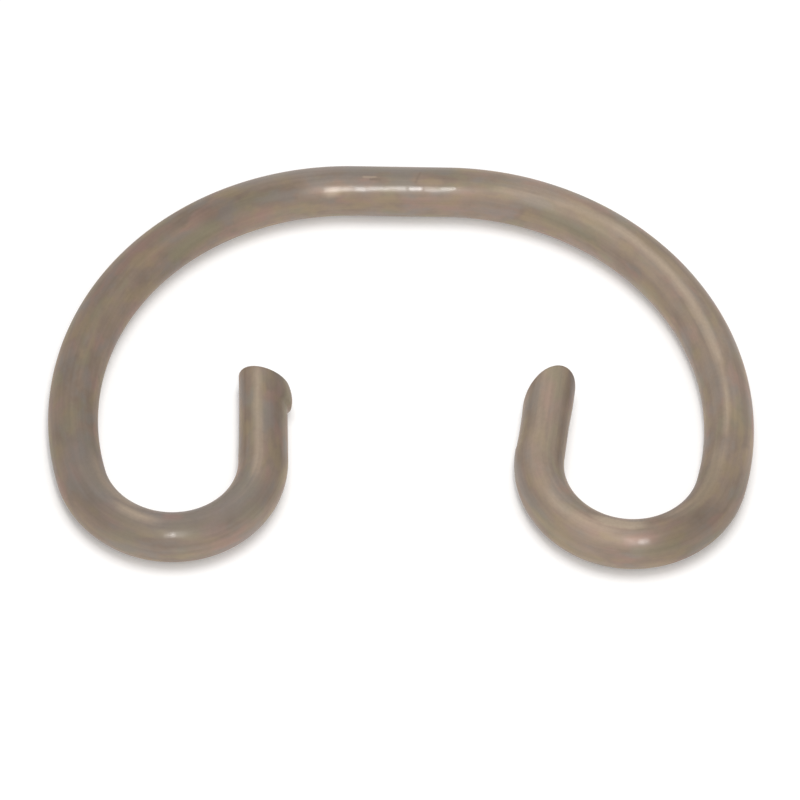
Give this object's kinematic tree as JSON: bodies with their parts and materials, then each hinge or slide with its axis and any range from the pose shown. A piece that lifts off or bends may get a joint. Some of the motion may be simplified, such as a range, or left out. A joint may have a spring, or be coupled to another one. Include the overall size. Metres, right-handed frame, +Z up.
{
  "type": "retaining ring",
  "caption": "Open retaining ring bent from one round steel wire, with a short straight back and two ends turned back inward as hooks.",
  "frame": {"origin": "under the middle of the ring's outline, on the surface that it lies on", "axes": "+X across the ring toward its right shoulder, +Y from the hooks toward the straight back, +Z up, away from the surface"},
  "size_m": [0.0226, 0.015, 0.0016],
  "materials": {
    "spring_wire": "dull, brown-grey drawn spring steel wire with a soft sheen"
  },
  "bodies": {
    "root": {"retaining_ring": "spring_wire"}
  },
  "joints": []
}
